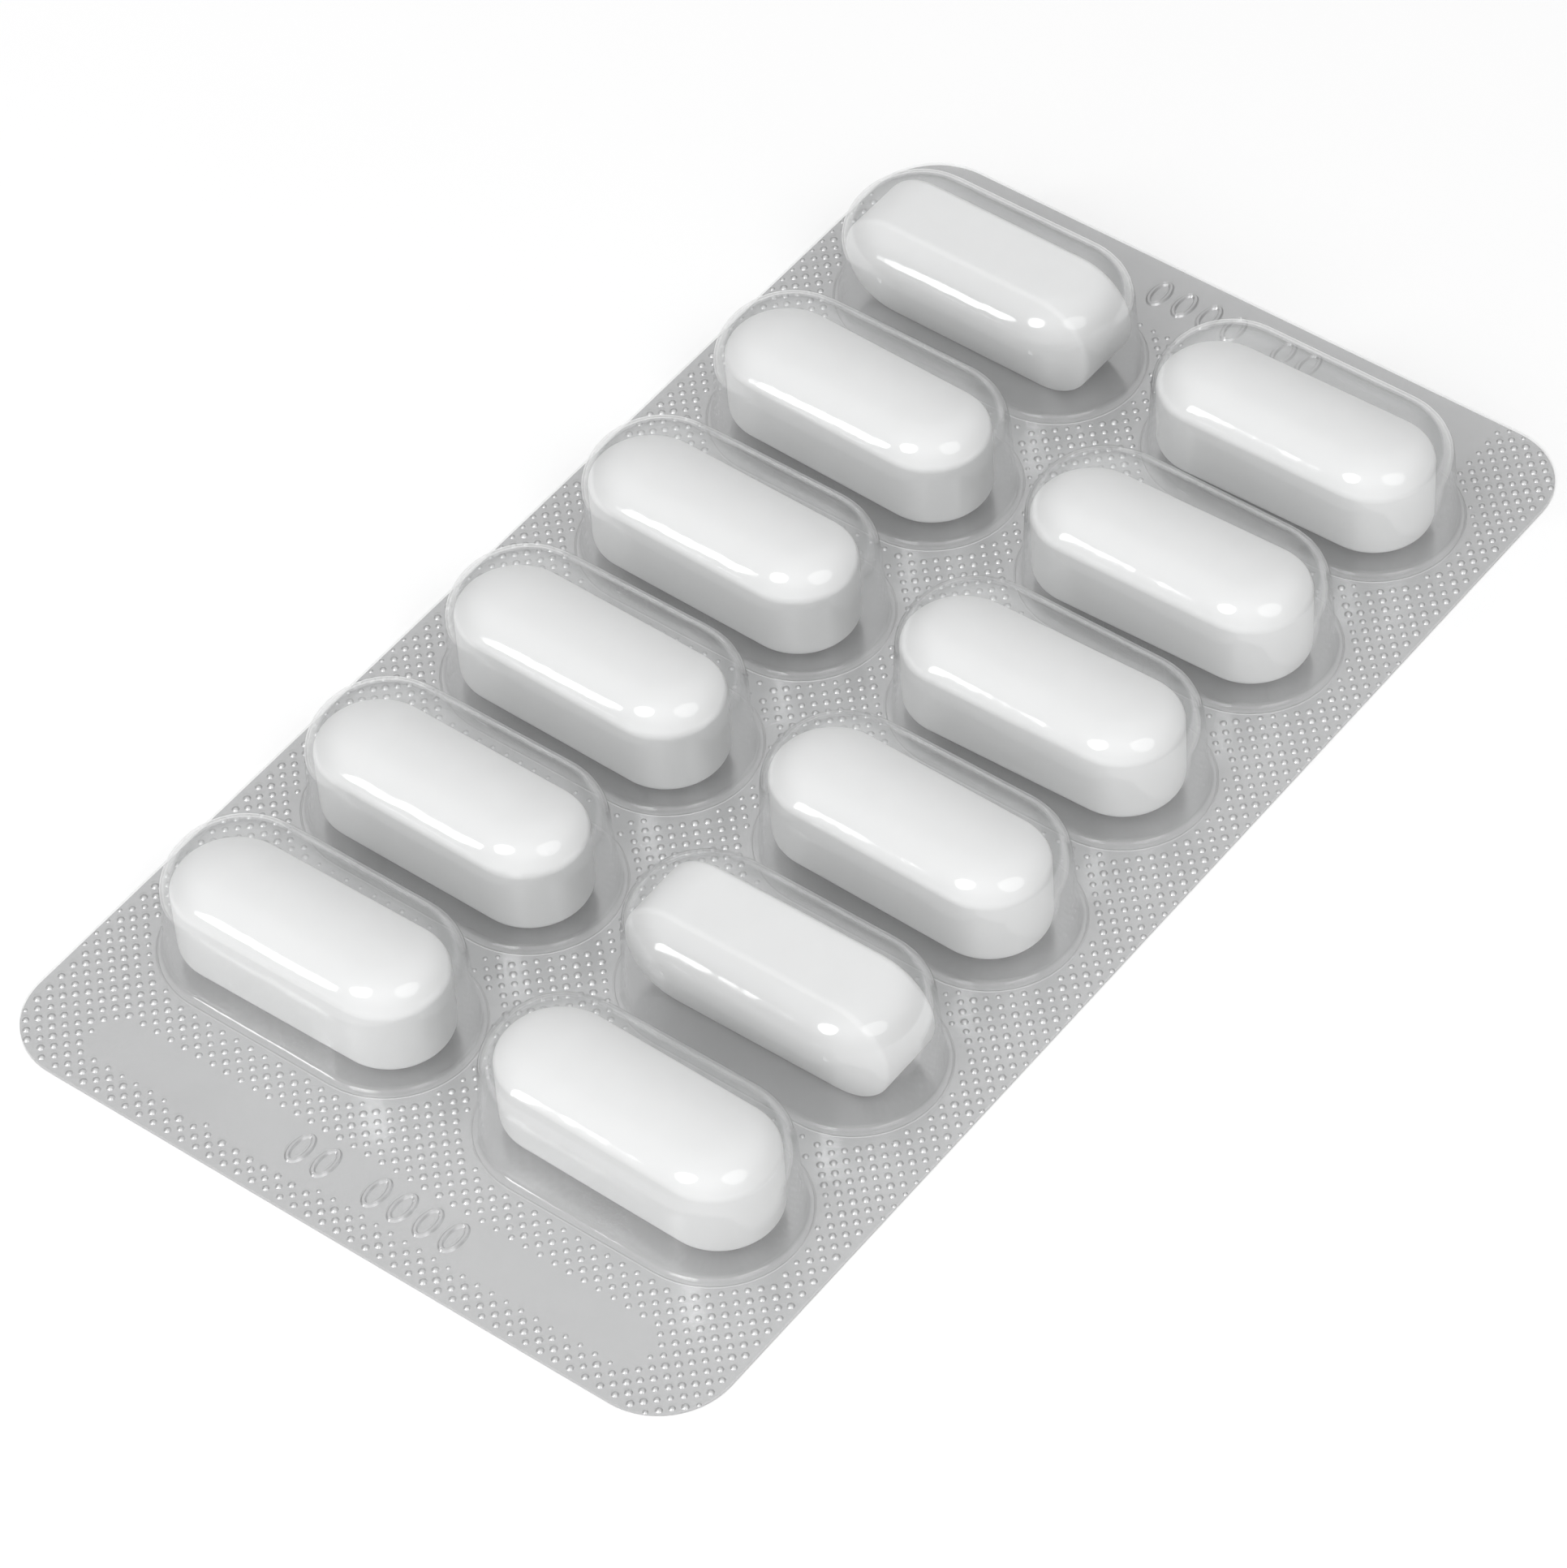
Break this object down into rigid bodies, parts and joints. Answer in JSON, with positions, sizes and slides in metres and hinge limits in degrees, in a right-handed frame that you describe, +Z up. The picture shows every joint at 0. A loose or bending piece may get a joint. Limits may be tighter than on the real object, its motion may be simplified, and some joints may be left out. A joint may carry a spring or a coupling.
{
  "type": "pill blister pack",
  "caption": "Flat pack of capsule-shaped tablets, each in a clear thermoformed pocket sealed to a knurled aluminium push-through foil.",
  "frame": {"origin": "centre of the pack's outline on the underside of the lidding foil", "axes": "+Z up out of the pockets, +Y along the pack's length towards the narrow plain edge, +X across the pack along the tablets"},
  "size_m": [0.056, 0.1, 0.0085],
  "materials": {
    "clear_film": "clear glossy thermoformed PVC",
    "aluminium_foil": "satin knurled foil",
    "tablet_coating": "smooth satin white film coating"
  },
  "bodies": {
    "root": {"forming_film": "clear_film", "lidding_foil": "aluminium_foil", "tablet_1": "tablet_coating", "tablet_2": "tablet_coating", "tablet_3": "tablet_coating", "tablet_4": "tablet_coating", "tablet_5": "tablet_coating", "tablet_6": "tablet_coating", "tablet_7": "tablet_coating", "tablet_8": "tablet_coating", "tablet_9": "tablet_coating", "tablet_10": "tablet_coating", "tablet_11": "tablet_coating", "tablet_12": "tablet_coating"}
  },
  "joints": []
}
